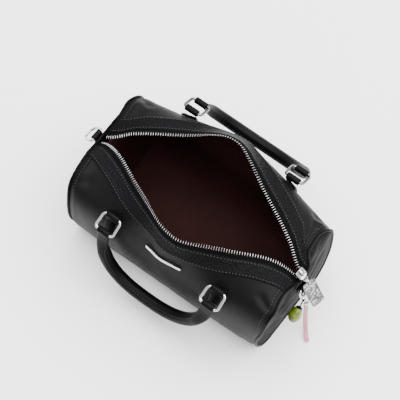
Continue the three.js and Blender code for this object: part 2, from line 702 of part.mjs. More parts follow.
const beadEye = charmEye(bead.eyeAngle);
const beadLean = THREE.MathUtils.degToRad(bead.lean);
const beadDown = flatUp.clone().negate().applyAxisAngle(flatAcross, -beadLean);
const cordStart = beadEye.place.clone().addScaledVector(beadDown, eyeDepth + bead.cord / 2);
const beadPlace = cordStart.clone().addScaledVector(beadDown, bead.cordLong + bead.tall / 2);
const cordPath = new THREE.LineCurve3(cordStart, beadPlace).getPoints(facets.cordSteps);
const beadCord = sweep(cordPath, () => flatAcross, () => roundWire(bead.cord, facets.wire), false);
const beadBall = new THREE.SphereGeometry(1, facets.beadAround, facets.beadUp).rotateX(Math.PI / 2)
  .scale(bead.across / 2, bead.across / 2, bead.tall / 2).rotateX(-beadLean)
  .translate(beadPlace.x, beadPlace.y, beadPlace.z);
addPiece('green_bead', joined([beadEye.loop, beadCord, beadBall]), 'bead');

export default satchel;
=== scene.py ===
import json
import math
from functools import lru_cache

import bpy
from mathutils import Matrix, Vector, noise


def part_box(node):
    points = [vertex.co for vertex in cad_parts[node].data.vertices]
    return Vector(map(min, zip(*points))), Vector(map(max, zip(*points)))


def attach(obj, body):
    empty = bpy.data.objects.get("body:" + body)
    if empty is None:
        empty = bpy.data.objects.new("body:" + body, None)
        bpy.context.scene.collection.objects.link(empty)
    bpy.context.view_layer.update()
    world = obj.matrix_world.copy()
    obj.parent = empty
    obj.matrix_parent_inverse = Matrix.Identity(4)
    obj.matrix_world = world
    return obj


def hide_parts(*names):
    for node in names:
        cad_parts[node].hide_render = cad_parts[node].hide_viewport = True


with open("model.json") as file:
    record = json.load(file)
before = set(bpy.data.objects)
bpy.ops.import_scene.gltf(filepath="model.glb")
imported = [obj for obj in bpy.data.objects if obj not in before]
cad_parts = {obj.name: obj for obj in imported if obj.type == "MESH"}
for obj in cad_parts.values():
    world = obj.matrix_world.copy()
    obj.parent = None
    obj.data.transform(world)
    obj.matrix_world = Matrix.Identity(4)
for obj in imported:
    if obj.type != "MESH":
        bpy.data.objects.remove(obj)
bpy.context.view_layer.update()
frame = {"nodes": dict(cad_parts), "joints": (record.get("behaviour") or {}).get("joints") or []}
bpy.ops.object.select_all(action="DESELECT")
mm = 0.001  # shapes are worked out in millimetres and placed in metres
acrossBag = Vector((1, 0, 0))
throughBag = Vector((0, 1, 0))
upright = Vector((0, 0, 1))
print("frame loaded:", len(frame["nodes"]), "nodes")


def turned(first, second, degrees):
    # a direction from the first towards the second
    angle = math.radians(degrees)
    return first * math.cos(angle) + second * math.sin(angle)


def added(name):
    piece = bpy.context.object
    piece.name = name
    return piece


# camera, at the photograph's angle
shot = {
    "turn": 37.06, "height": 66, "distance": 1.9, "lens": 161.8, "sensor": 36,
    "lookAt": (-0.011, 0.0145, 0.082),
}


def addCamera():
    away = turned(turned(-throughBag, acrossBag, shot["turn"]), upright, shot["height"])
    bpy.ops.object.camera_add(location=Vector(shot["lookAt"]) + away * shot["distance"])
    camera = added("photoCamera")
    camera.rotation_euler = away.to_track_quat("Z", "Y").to_euler()
    camera.data.lens = shot["lens"]
    camera.data.sensor_width = shot["sensor"]
    bpy.context.scene.camera = camera


addCamera()


# one class for shader maths: it wraps a socket, and an expression on it adds Math nodes
class Wire:
    def __init__(self, tree, socket=None):
        self.tree = tree
        self.socket = socket

    def make(self, kind, settings=None, inputs=None, output=0):
        node = self.tree.nodes.new(kind)
        for key, value in (settings or {}).items():
            setattr(node, key, value)
        for key, value in (inputs or {}).items():
            self.plug(node.inputs[key], value)
        return Wire(self.tree, node.outputs[output])

    def plug(self, socket, value):
        if isinstance(value, Wire):
            self.tree.links.new(value.socket, socket)
        else:
            socket.default_value = value

    def maths(self, operation, first, second):
        return self.make("ShaderNodeMath", {"operation": operation}, {0: first, 1: second})

    def __add__(self, other):
        return self.maths("ADD", self, other)

    def __sub__(self, other):
        return self.maths("SUBTRACT", self, other)

    def __rsub__(self, other):
        return self.maths("SUBTRACT", other, self)

    def __mul__(self, other):
        return self.maths("MULTIPLY", self, other)

    __radd__ = __add__
    __rmul__ = __mul__

    def ramp(self, *stops):
        result = self.make("ShaderNodeValToRGB", None, {"Fac": self})
        elements = result.socket.node.color_ramp.elements
        while len(elements) < len(stops):
            elements.new(1)
        for element, (place, grey) in zip(elements, stops):
            element.position = place
            element.color = (grey, grey, grey, 1)
        return result

    def tint(self, low, high):
        colours = {"Factor": self, 6: (*low, 1), 7: (*high, 1)}
        return self.make("ShaderNodeMix", {"data_type": "RGBA"}, colours, 2)


def finish(build):
    # build gives the shader's inputs; place is where a point lies on its object
    def make(name, look=None):
        material = bpy.data.materials.new(name)
        material.use_nodes = True
        wire = Wire(material.node_tree)
        place = wire.make("ShaderNodeTexCoord", output="Object")
        shader = material.node_tree.nodes["Principled BSDF"]
        for key, value in build(wire, place, look).items():
            wire.plug(shader.inputs[key], value)
        return material

    return make


def noiseOn(wire, place, scale, detail=3, rough=0.5, output=0):
    inputs = {"Vector": place, "Scale": scale, "Detail": detail, "Roughness": rough}
    return wire.make("ShaderNodeTexNoise", None, inputs, output)


def cellsOn(wire, place, scale, soft):
    inputs = {"Vector": place, "Scale": scale, "Smoothness": soft}
    return wire.make("ShaderNodeTexVoronoi", {"feature": "SMOOTH_F1"}, inputs, "Distance")


def bumpOn(wire, height, strength, distance):
    inputs = {"Strength": strength, "Distance": distance, "Height": height}
    return wire.make("ShaderNodeBump", None, inputs, "Normal")


# leather: pebbled grain with fine pores, cloudy colour and sheen
hide = {
    "bend": (0.0006, 0.0006, 0.0006), "bendScale": 0.4, "bendDetail": 2, "soft": 0.35, "poreScale": 3,
    "cloudScale": 22, "patchScale": 60, "patchRough": 0.16, "pebbleRough": 0.06,
    "coat": 0.005, "coatRough": 0.38,
}


@finish
def leatherFinish(wire, place, look):
    drift = noiseOn(wire, place, look["grain"] * hide["bendScale"], hide["bendDetail"], output="Color")
    inputs = {0: drift, 1: hide["bend"], 2: place}
    bent = wire.make("ShaderNodeVectorMath", {"operation": "MULTIPLY_ADD"}, inputs)
    pores = noiseOn(wire, place, look["grain"] * hide["poreScale"], 2)
    cloud = noiseOn(wire, place, hide["cloudScale"], 4, 0.6)
    patches = noiseOn(wire, place, hide["patchScale"], 2)
    pebble = cellsOn(wire, bent, look["grain"], hide["soft"]).ramp((0.05, 1), (0.55, 0.25), (0.9, 0))
    shade = cloud * 0.6 + pebble * 0.25 + patches * 0.15
    rough = look["rough"] + (patches - 0.5) * hide["patchRough"] - pebble * hide["pebbleRough"]
    return {
        "Base Color": shade.tint(look["dark"], look["light"]),
        "Roughness": rough,
        "Normal": bumpOn(wire, pebble * 0.8 + pores * 0.2, look["bump"], look["deep"]),
        "Coat Weight": hide["coat"],
        "Coat Roughness": hide["coatRough"],
        "Specular IOR Level": look["gloss"],
    }


bodyLeather = leatherFinish("bodyLeather", {
    "dark": (0.0017, 0.0017, 0.0019), "light": (0.005, 0.005, 0.0056),
    "grain": 900, "bump": 0.5, "deep": 0.0004, "rough": 0.46, "gloss": 0.06,
})
# the end panels: the body's leather painted darker, which is painted shade
endLeather = leatherFinish("endLeather", {
    "dark": (0.0013, 0.0013, 0.0015), "light": (0.0034, 0.0034, 0.0038),
    "grain": 900, "bump": 0.5, "deep": 0.0004, "rough": 0.5, "gloss": 0.015,
})
stripLeather = leatherFinish("stripLeather", {
    "dark": (0.001, 0.001, 0.0012), "light": (0.006, 0.006, 0.0066),
    "grain": 480, "bump": 1.0, "deep": 0.0011, "rough": 0.44, "gloss": 0.035,
})
handleLeather = leatherFinish("handleLeather", {
    "dark": (0.0012, 0.0012, 0.0014), "light": (0.0035, 0.0035, 0.004),
    "grain": 1200, "bump": 0.35, "deep": 0.0004, "rough": 0.42, "gloss": 0.045,
})


# woven cloth: two sets of threads on the piece's own UV map
thread = {"bend": 0.4, "slubScale": 240, "cloudScale": 30, "deep": 0.0003, "slubRough": 0.12}


def threadsOn(wire, sheet, direction):
    inputs = {"Vector": sheet, "Scale": 1, "Distortion": thread["bend"]}
    return wire.make("ShaderNodeTexWave", {"bands_direction": direction}, inputs, "Fac")


@finish
def clothFinish(wire, place, look):
    sheet = wire.make("ShaderNodeMapping", None, {
        "Vector": wire.make("ShaderNodeTexCoord", output="UV"), "Scale": (look["across"], look["along"], 1),
    })
    slubs = noiseOn(wire, place, thread["slubScale"])
    cloud = noiseOn(wire, place, thread["cloudScale"])
    weave = wire.maths("MAXIMUM", threadsOn(wire, sheet, "X") * 0.9, threadsOn(wire, sheet, "Y"))
    return {
        "Base Color": (weave * 0.35 + cloud * 0.45 + slubs * 0.2).tint(look["dark"], look["light"]),
        "Roughness": look["rough"] + (slubs - 0.5) * thread["slubRough"],
        "Normal": bumpOn(wire, weave * 0.8 + slubs * 0.2, look["bump"], thread["deep"]),
        "Sheen Weight": look["sheen"],
        "Specular IOR Level": look["gloss"],
    }


liningCloth = clothFinish("liningCloth", {
    "dark": (0.006, 0.0022, 0.002), "light": (0.025, 0.009, 0.008),
    "across": 42, "along": 50, "bump": 0.25, "rough": 0.8, "sheen": 0.0, "gloss": 0.05,
})
tapeCloth = clothFinish("tapeCloth", {
    "dark": (0.0007, 0.0007, 0.0007), "light": (0.003, 0.003, 0.0032),
    "across": 60, "along": 2, "bump": 0.5, "rough": 0.75, "sheen": 0.0, "gloss": 0.03,
})
ribbonSatin = clothFinish("ribbonSatin", {
    "dark": (0.4, 0.14, 0.165), "light": (0.62, 0.29, 0.32),
    "across": 3, "along": 26, "bump": 0.3, "rough": 0.45, "sheen": 0.1, "gloss": 0.3,
})


# bright plated metal with fine rubbing marks
plating = {
    "stretch": (1, 1, 0.12), "rubScale": 2600, "cloudScale": 180, "bump": 0.05, "deep": 0.0001,
    "cloudRough": 0.1, "rubRough": 0.06,
}


@finish
def metalFinish(wire, place, look):
    stretched = wire.make("ShaderNodeMapping", None, {"Vector": place, "Scale": plating["stretch"]})
    rubbed = noiseOn(wire, stretched, plating["rubScale"], 2)
    cloud = noiseOn(wire, place, plating["cloudScale"])
    marks = (cloud - 0.5) * plating["cloudRough"] + (rubbed - 0.5) * plating["rubRough"]
    return {
        "Base Color": (cloud * 0.7 + rubbed * 0.3).tint(look["dark"], look["light"]),
        "Metallic": 1.0,
        "Roughness": look["rough"] + marks,
        "Normal": bumpOn(wire, rubbed, plating["bump"], plating["deep"]),
    }


# hammered plate: shallow round dents, darker where they meet
@finish
def hammeredFinish(wire, place, look):
    cloud = noiseOn(wire, place, look["cloudScale"])
    hollow = cellsOn(wire, place, look["scale"], look["soft"]).ramp((0.1, 0), (0.65, 1))
    return {
        "Base Color": (1 - hollow * 0.75 - cloud * 0.25).tint(look["dark"], look["light"]),
        "Metallic": 1.0,
        "Roughness": look["rough"] + (cloud - 0.5) * look["cloudRough"],
        "Normal": bumpOn(wire, hollow, look["bump"], look["deep"]),
    }


silverPlate = metalFinish("silverPlate", {
    "dark": (0.38, 0.38, 0.39), "light": (0.66, 0.66, 0.66), "rough": 0.14,
})
toothMetal = metalFinish("toothMetal", {
    "dark": (0.24, 0.24, 0.245), "light": (0.44, 0.44, 0.44), "rough": 0.2,
})
# a darker copy of the silver plating for the back rings: painted shade, the same metal as the front rings
dullPlate = metalFinish("dullPlate", {
    "dark": (0.11, 0.11, 0.115), "light": (0.27, 0.27, 0.275), "rough": 0.16,
})
hammeredPlate = hammeredFinish("hammeredPlate", {
    "dark": (0.17, 0.17, 0.175), "light": (0.66, 0.66, 0.66), "rough": 0.2, "scale": 330, "soft": 0.25,
    "bump": 0.6, "deep": 0.0004, "cloudScale": 500, "cloudRough": 0.12,
})


# sewing thread, twisted
@finish
def threadFinish(wire, place, look):
    fuzz = noiseOn(wire, place, 1800, 2)
    return {
        "Base Color": fuzz.tint((0.005, 0.005, 0.0055), (0.016, 0.016, 0.0175)),
        "Roughness": 0.5 + fuzz * 0.2,
        "Normal": bumpOn(wire, fuzz, 0.4, 0.0001),
    }


blackThread = threadFinish("blackThread")


# glossy green bead with paler clouds
@finish
def beadFinish(wire, place, look):
    cloud = noiseOn(wire, place, 170, 4, 0.6)
    specks = noiseOn(wire, place, 900, 2)
    return {
        "Base Color": cloud.ramp((0.3, 0), (0.68, 1)).tint((0.035, 0.062, 0.003), (0.16, 0.21, 0.016)),
        "Roughness": 0.22 + specks * 0.14,
        "Normal": bumpOn(wire, cloud, 0.12, 0.0003),
        "Coat Weight": 0.2,
    }


greenGloss = beadFinish("greenBead")
print("finishes made")


# mesh helpers
def deselect():
    bpy.ops.object.select_all(action="DESELECT")


def setMode(mode):
    bpy.ops.object.mode_set(mode=mode)


def only(piece):
    deselect()
    piece.select_set(True)
    bpy.context.view_layer.objects.active = piece


def editAll(piece):
    only(piece)
    setMode("EDIT")
    bpy.ops.mesh.select_all(action="SELECT")


def newPiece(name, data):
    piece = bpy.data.objects.new(name, data)
    bpy.context.scene.collection.objects.link(piece)
    return piece


def gridPiece(name, along, across, placeAt):
    # a grid bent over a surface; placeAt takes two shares from 0 to 1 and gives millimetres
    deselect()
    bpy.ops.mesh.primitive_grid_add(x_subdivisions=along, y_subdivisions=across, size=1)
    piece = added(name)
    for vertex in piece.data.vertices:
        vertex.co = placeAt(vertex.co.x + 0.5, vertex.co.y + 0.5) * mm
    return piece


def sweep(name, steps, section, placeAt):
    # a closed section carried along a line; placeAt takes the share along it and a section's point
    count = len(section)
    return gridPiece(name, steps, count, lambda u, v: placeAt(u, *section[round(v * count) % count]))


def boxPiece(name, *size):
    deselect()
    bpy.ops.mesh.primitive_cube_add(size=1)
    piece = added(name)
    piece.data.transform(Matrix.Diagonal((*(side * mm for side in size), 1)))
    return piece


def closeUp(piece, fillEnds=True):
    # merge the seams, close the open ends and turn the faces out
    editAll(piece)
    bpy.ops.mesh.remove_doubles(threshold=0.00001)
    if fillEnds:
        bpy.ops.mesh.fill_holes(sides=0)
    bpy.ops.mesh.select_all(action="SELECT")
    bpy.ops.mesh.normals_make_consistent(inside=False)
    setMode("OBJECT")
    return piece


def modify(piece, kind, **settings):
    only(piece)
    modifier = piece.modifiers.new(kind.lower(), kind)
    for key, value in settings.items():
        setattr(modifier, key, value)
    bpy.ops.object.modifier_apply(modifier=modifier.name)
    return piece


def roundEdges(piece, width, segments, angle=35):
    limit = math.radians(angle)
    return modify(
        piece, "BEVEL", width=width * mm, segments=segments, limit_method="ANGLE", angle_limit=limit,
    )


def thicken(piece, thickness):
    return modify(piece, "SOLIDIFY", thickness=thickness * mm, offset=-1)


def faceAway(piece, middle):
    # an open skin's faces point away from a place inside it
    lean = sum((part.center - middle * mm).dot(part.normal) * part.area for part in piece.data.polygons)
    if lean < 0:
        editAll(piece)
        bpy.ops.mesh.flip_normals()
        setMode("OBJECT")


def smooth(piece, angle=50):
    only(piece)
    bpy.ops.object.shade_smooth_by_angle(angle=math.radians(angle))
    return piece


def joinAll(pieces, name):
    deselect()
    for piece in pieces:
        piece.select_set(True)
    bpy.context.view_layer.objects.active = pieces[0]
    bpy.ops.object.join()
    return added(name)


def dress(piece, material, slot, *nodes, body="bag"):
    piece.data.materials.clear()
    piece.data.materials.append(material)
    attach(piece, body)
    if nodes:
        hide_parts(*nodes)
    return piece


def tube(name, points, radius, closed=False, sides=3):
    # a round wire through points given in millimetres
    deselect()
    curve = bpy.data.curves.new(name, "CURVE")
    curve.dimensions = "3D"
    curve.bevel_depth = radius * mm
    curve.bevel_resolution = sides
    curve.use_fill_caps = not closed
    spline = curve.splines.new("POLY")
    spline.points.add(len(points) - 1)
    for spot, point in zip(spline.points, points):
        spot.co = (*(point * mm), 1)
    spline.use_cyclic_u = closed
    only(newPiece(name, curve))
    bpy.ops.object.convert(target="MESH")
    return closeUp(smooth(bpy.context.object, 60), not closed)


def mergedCopy(node, name):
    # a copy of a CAD solid with its flat faces made whole
    piece = closeUp(newPiece(name, frame["nodes"][node].data.copy()), False)
    editAll(piece)
    bpy.ops.mesh.dissolve_limited(angle_limit=math.radians(1.5))
    setMode("OBJECT")
    return piece


def pickFaces(piece, test):
    # leaves the piece in edit mode with only these faces selected
    only(piece)
    setMode("EDIT")
    bpy.ops.mesh.select_mode(type="FACE")
    bpy.ops.mesh.select_all(action="DESELECT")
    setMode("OBJECT")
    for part in piece.data.polygons:
        part.select = test(part.normal)
    setMode("EDIT")


def nodeCopy(node, name, bevel):
    # a merged copy with its edges rounded
    return smooth(roundEdges(mergedCopy(node, name), bevel, 3), 35)


def frameAt(place, along, up):
    # columns: along, across, up, place
    along = along.normalized()
    across = up.cross(along).normalized()
    up = along.cross(across)
    turn = Matrix((along, across, up)).transposed().to_4x4()
    return Matrix.Translation(place * mm) @ turn


def rowFrames(pointAt, upAt, pitch, first=0.0, last=1.0, samples=400):
    # frames at even steps along a line; pointAt and upAt take a share of it
    shares = [first + (last - first) * k / samples for k in range(samples + 1)]
    points = [pointAt(share) for share in shares]
    run = [0.0]
    for before, after in zip(points, points[1:]):
        run.append(run[-1] + (after - before).length)
    count = max(1, round(run[-1] / pitch))
    frames = []
    k = 0
    for step in range(count):
        target = run[-1] * (step + 0.5) / count
        while run[k + 1] < target:
            k += 1
        part = (target - run[k]) / (run[k + 1] - run[k])
        place = points[k].lerp(points[k + 1], part)
        share = shares[k] + (shares[k + 1] - shares[k]) * part
        frames.append(frameAt(place, points[k + 1] - points[k], upAt(share)))
    return frames


def copiesAlong(name, model, frames):
    # each copy has its own part of one mesh
    corners = [vertex.co.copy() for vertex in model.data.vertices]
    faces = [tuple(part.vertices) for part in model.data.polygons]
    allCorners = []
    allFaces = []
    for place in frames:
        first = len(allCorners)
        allCorners.extend(place @ corner for corner in corners)
        allFaces.extend(tuple(first + index for index in indices) for indices in faces)
    mesh = bpy.data.meshes.new(name)
    mesh.from_pydata(allCorners, [], allFaces)
    bpy.data.objects.remove(model)
    return smooth(newPiece(name, mesh))


stitch = {"long": 2.0, "wide": 0.75, "high": 0.6, "pitch": 3.5}


def sew(name, frames, body="bag"):
    # one stitch copied along a row
    deselect()
    bpy.ops.mesh.primitive_uv_sphere_add(segments=8, ring_count=5, radius=0.5)
    model = bpy.context.object
    model.data.transform(Matrix.Rotation(math.pi / 2, 4, "Y"))
    size = Vector((stitch["long"], stitch["wide"], stitch["high"])) * mm
    model.data.transform(Matrix.Diagonal((*size, 1)))
    dress(copiesAlong(name, model, frames), blackThread, "leather", body=body)


def cubic(before, here, after, beyond, gaps, share):
    # a smooth line through points, with each slope from the neighbours
    back, width, ahead = gaps
    step = after - here
    first = (step + (here - before) * (width / back)) / 2
    last = (step + (beyond - after) * (width / ahead)) / 2
    bend = (first + last - step * 2) * share
    return here + (first + (step * 3 - first * 2 - last + bend) * share) * share


def between(low, high, share):
    return low + (high - low) * share


def smoothStep(value, low, high):
    share = min(max((value - low) / (high - low), 0), 1)
    return share * share * (3 - 2 * share)


def hill(value, first, full, fade, last):
    return smoothStep(value, first, full) * (1 - smoothStep(value, fade, last))


# the bag's skin: one row for each section, station -1 at the left end seam and 1 at the right
# flat: half width of the bottom; bellyY, bellyZ: the widest place; then the seams of the top strips
# with the strips' lean in degrees; rise, turn: how full the wall is above the belly and below the seam
bag = {
    "halfLength": 122, "leather": 2, "lining": 1, "fit": 0.3, "rim": 23,
    "overhang": 9, "overhangFrom": 60, "overhangFull": 105, "turnFrom": 0.93, "turnDepth": 2.5,
    "flatRun": 0.2, "lowerRun": 0.52, "seamLean": 0.85, "edge": 0.9945,
}
sectionNames = (
    "station", "flat", "bellyY", "bellyZ",
    "frontY", "frontZ", "frontTilt", "backY", "backZ", "backTilt", "rise", "turn",
)
sectionRows = (
    (-1.00, 40, 75, 60, 23.4, 117, 113, 23.4, 118, 113, 0.62, 0.50),
    (-0.80, 41, 75.5, 59, 32, 121, 85, 42.5, 123, 92, 0.62, 0.45),
    (-0.45, 42, 75, 58, 51, 119, 60, 66, 127, 71, 0.50, 0.35),
    (-0.14, 42, 74, 58, 60, 122, 24, 79, 127, 37, 0.42, 0.32),
    (0.00, 42, 74, 58, 65, 122, 24.5, 81.5, 126, 37.5, 0.42, 0.32),
    (0.14, 42, 74, 58, 64, 122, 21.5, 77.5, 127, 47, 0.42, 0.32),
    (0.45, 42, 73.5, 58, 52, 119, 56.5, 64, 127, 78.5, 0.50, 0.35),
    (0.80, 41, 72.5, 59, 31.5, 121, 84, 41, 123, 91, 0.62, 0.45),
    (1.00, 40, 71, 60, 23.4, 116, 113, 23.4, 117, 113, 0.62, 0.50),
)


@lru_cache(maxsize=None)
def sectionAt(station):
    # the end rows have no slope
    station = min(max(station, -1), 1)
    k = max(index for index, row in enumerate(sectionRows[:-1]) if row[0] <= station)
    here = sectionRows[k]
    after = sectionRows[k + 1]
    width = after[0] - here[0]
    before, back = after, width
    beyond, ahead = here, width
    if k > 0:
        before, back = sectionRows[k - 1], here[0] - sectionRows[k - 1][0]
    if k + 2 < len(sectionRows):
        beyond, ahead = sectionRows[k + 2], sectionRows[k + 2][0] - after[0]
    gaps = (back, width, ahead)
    share = (station - here[0]) / width
    values = [cubic(*column, gaps, share) for column in zip(before, here, after, beyond)]
    return dict(zip(sectionNames, values))


def face(side):
    return "front" if side < 0 else "back"


quarterArc = 0.5523  # how far a curve's handles reach for a quarter of a circle


def leanDirection(tilt):
    return Vector((-math.sin(tilt), math.cos(tilt)))


@lru_cache(maxsize=None)
def wallCurves(station, side):
    s = sectionAt(station)
    seam = Vector((s[face(side) + "Y"], s[face(side) + "Z"]))
    tilt = math.radians(s[face(side) + "Tilt"])
    belly = Vector((s["bellyY"], s["bellyZ"]))
    flat = Vector((s["flat"], 0))
    reach = (seam - belly).length
    bottom = (Vector((0, 0)), flat / 3, flat * 2 / 3, flat)
    along = Vector((quarterArc * (belly.x - flat.x), 0))
    lower = (flat, flat + along, Vector((belly.x, belly.y * (1 - quarterArc))), belly)
    lean = leanDirection(tilt * bag["seamLean"])
    upper = (belly, belly + Vector((0, s["rise"] * reach)), seam - lean * s["turn"] * reach, seam)
    return bottom, lower, upper


def bezierAt(curve, t):
    a, b, c, d = curve
    u = 1 - t
    point = a * u ** 3 + b * 3 * u * u * t + c * 3 * u * t * t + d * t ** 3
    slope = (b - a) * u * u + (c - b) * 2 * u * t + (d - c) * t * t
    return point, slope.normalized()


# soft dents in the wall, in millimetres inwards; the seeds keep the two sides apart
dents = {
    "depth": 1.5, "mean": 0.45, "wave": 0.5, "ripple": 0.25, "waveLong": 2.6, "waveAround": 3.4,
    "rippleLong": 9, "rippleAround": 5, "endFade": 0.16, "shift": 7, "waveSeed": 1.7, "rippleSeed": 4.1,
}

# creases pulled in towards the zip's ends: side, first and last (station, run), depth, width
creases = (
    (1, (0.985, 0.66), (0.78, 0.88), 2.6, 0.034),
    (1, (0.985, 0.8), (0.86, 0.92), 2.4, 0.024),
    (-1, (0.985, 0.82), (0.84, 0.93), 2.2, 0.024),
    (1, (-0.985, 0.74), (-0.84, 0.9), 1.8, 0.028),
    (-1, (-0.985, 0.78), (-0.82, 0.93), 1.8, 0.028),
)


def creaseAt(station, side, run):
    # a valley along each line that fades to nothing at both of its ends
    depth = 0
    here = Vector((station, run))
    for creaseSide, first, last, deep, wide in creases:
        if creaseSide == side:
            line = Vector(last) - Vector(first)
            share = min(max((here - Vector(first)).dot(line) / line.length_squared, 0), 1)
            gap = (here - Vector(first) - line * share).length
            depth += deep * hill(share, 0, 0.25, 0.6, 1) * math.exp(-(gap / wide) ** 2)
    return depth


def dentAt(station, side, run):
    inland = smoothStep(1 - abs(station), 0.02, dents["endFade"]) * hill(run, 0.3, 0.5, 0.86, 1)
    waveX = station * dents["waveLong"] + dents["shift"] * side
    wave = noise.noise((waveX, run * dents["waveAround"], dents["waveSeed"] * side))
    rippleX = station * dents["rippleLong"]
    ripple = noise.noise((rippleX, run * dents["rippleAround"], dents["rippleSeed"] * side))
    swell = dents["mean"] + wave * dents["wave"] + ripple * dents["ripple"]
    return dents["depth"] * inland * swell + creaseAt(station, side, run)


# where an end seam is tucked in along the bag, or stands out: end, side, depth, then the runs
# where it starts, is full, fades and ends; a run above 1 is on the strip, 2 at the zip
tuckFrom = 0.8  # station
tucks = (
    (1, 1, 8, 0.68, 0.92, 1, 1.65),
    (1, -1, -7, 0.44, 0.64, 0.82, 1),
    (-1, 1, -6, 0.4, 0.64, 0.86, 1),
    (-1, -1, 2.5, 0.2, 0.45, 0.6, 0.8),
)


def tuckAt(station, side, run):
    depth = 0
    for end, tuckSide, deep, *runs in tucks:
        if end * station > tuckFrom and side == tuckSide:
            depth += end * deep * hill(run, *runs)
    return depth * smoothStep(abs(station), tuckFrom, 1)


def placed(station, side, point, slope, offset):
    inset = bag["turnDepth"] * smoothStep(abs(station), bag["turnFrom"], 1)
    depth = offset - inset
    belly = sectionAt(station)["bellyY"]
    up = min(max((point.y - bag["overhangFrom"]) / (bag["overhangFull"] - bag["overhangFrom"]), 0), 1)
    inward = 1 - min(point.x / belly, 1)
    overhang = bag["overhang"] * station ** 3 * up * inward
    x = station * bag["halfLength"] + overhang
    return Vector((x, side * (point.x + slope.y * depth), point.y - slope.x * depth))


def onWall(station, side, run, offset):
    # run 0 is the middle of the bottom and run 1 the seam of the top strip
    bottom, lower, upper = wallCurves(station, side)
    if run < bag["flatRun"]:
        curve = bottom
        share = run / bag["flatRun"]
    elif run < bag["lowerRun"]:
        curve = lower
        share = (run - bag["flatRun"]) / (bag["lowerRun"] - bag["flatRun"])
    else:
        curve = upper
        share = (run - bag["lowerRun"]) / (1 - bag["lowerRun"])
    point, slope = bezierAt(curve, share)
    place = placed(station, side, point, slope, offset - dentAt(station, side, run))
    place.x -= tuckAt(station, side, run)
    return place


def onTop(station, side, across, offset):
    # across is the distance from the seam towards the mouth
    s = sectionAt(station)
    seam = Vector((s[face(side) + "Y"], s[face(side) + "Z"]))
    lean = leanDirection(math.radians(s[face(side) + "Tilt"]))
    place = placed(station, side, seam + lean * across, lean, offset)
    place.x -= tuckAt(station, side, 1 + across / bag["rim"])
    return place


def stationOf(share):
    return bag["edge"] * math.sin((share - 0.5) * math.pi)


# body wall and its lining
skin = {"along": 108, "around": 120, "seamMargin": 0.997, "liningFrom": 1 / 9}
bagMiddle = Vector((0, 0, 65))


def aroundWall(station, share, offset):
    side = -1 if share < 0.5 else 1
    return onWall(station, side, abs(share - 0.5) * 2 * skin["seamMargin"], offset)


def grown(piece, thickness):
    # an open skin grows inwards from its outer face
    faceAway(piece, bagMiddle)
    return smooth(thicken(piece, thickness))


def wallSkin(name, thickness, depth, first):
    def placeAt(u, v):
        return aroundWall(stationOf(between(first, 1 - first, u)), v, depth)

    return grown(gridPiece(name, skin["along"], skin["around"], placeAt), thickness)


def buildWall():
    wall = wallSkin("bodyWall", bag["leather"], 0, 0)
    dress(wall, bodyLeather, "leather", "body_wall")
    lining = wallSkin("bodyLining", bag["lining"], -bag["leather"] - bag["fit"], skin["liningFrom"])
    dress(lining, liningCloth, "lining", "lining_body")


buildWall()
print("wall and lining done")

# top strips, zip tapes and teeth; a section is a closed row of (across, offset) points
strip = {
    "section": (
        (-2.4, 0.25), (-2.6, 0.7), (-2.2, 1.05), (-1.4, 1.15), (0, 1.1), (1.6, 0.8), (6, 0.75),
        (12.5, 0.75), (14.6, 0.7), (15.6, 0.55), (16, 0.15), (15.7, -0.25), (14.6, -0.4), (6, -0.4),
        (1.2, -0.4), (0.6, 0), (0, 0.2),
    ),
    "upperWall": 70, "along": 108, "stitches": (("A", -1.0, 1.2), ("B", 13.4, 0.8)),
}
tape = {
    "section": (
        (3, -0.55), (15, -0.55), (16.8, -0.1), (20.8, -0.05),
        (20.8, -0.95), (16.8, -1), (15, -1.4), (3, -1.4),
    ),
}
tooth = {
    "pitch": 2.7, "along": 0.85, "long": 4.0, "high": 1.2, "across": 22.9, "up": -0.3, "from": 0.978,
    "edge": 0.22, "neck": (0.8, 1, 0.8), "nose": (0.75, 1, 0.6),
}


def onStrip(station, side, across, offset):
    # below the seam the strip laps over the wall
    if across >= 0:
        return onTop(station, side, across, offset)
    wallLength = strip["upperWall"] / (1 - bag["lowerRun"])
    return onWall(station, side, 1 + across / wallLength, offset)


def lofted(name, section, side):
    return closeUp(sweep(
        name, strip["along"], section,
        lambda u, across, offset: onStrip(stationOf(u), side, across, offset),
    ))


def upFrom(surface, *spot):
    return surface(*spot, 1) - surface(*spot, 0)


def toothModel():
    # a leg that grips the tape and a narrower head with a rounded nose
    quarter = tooth["long"] / 4
    model = boxPiece("tooth", tooth["along"], quarter * 2, tooth["high"])
    pickFaces(model, lambda normal: normal.y > 0.9)
    for narrowing in (tooth["neck"], tooth["nose"]):
        bpy.ops.mesh.extrude_region_move(TRANSFORM_OT_translate={"value": (0, quarter * mm, 0)})
        bpy.ops.transform.resize(value=narrowing)
    setMode("OBJECT")
    model.data.transform(Matrix.Translation((0, -quarter * mm, 0)))
    return roundEdges(model, tooth["edge"], 1, 30)


def buildTop(side):
    where = face(side)
    title = where.capitalize()
    leather = smooth(lofted("topStrip" + title, strip["section"], side))
    dress(leather, stripLeather, "leather", "top_strip_" + where)
    cloth = smooth(lofted("zipTape" + title, tape["section"], side), 40)
    dress(cloth, tapeCloth, "tape", "zip_tape_" + where)

    def framesAt(across, up, pitch):
        def station(share):
            return between(-tooth["from"], tooth["from"], share)

        return rowFrames(
            lambda share: onStrip(station(share), side, across, up),
            lambda share: upFrom(onTop, station(share), side, max(across, 0)), pitch,
        )

    frames = framesAt(tooth["across"], tooth["up"], tooth["pitch"])
    if side > 0:
        half = Matrix.Rotation(math.pi, 4, "Z")
        frames = [place @ half for place in frames]
    teeth = copiesAlong("zipTeeth" + title, toothModel(), frames)
    dress(teeth, toothMetal, "metal", "zip_teeth_" + where)
    for letter, across, up in strip["stitches"]:
        sew("stripStitches" + title + letter, framesAt(across, up, stitch["pitch"]))


for side in (-1, 1):
    buildTop(side)
print("strips and zip done")

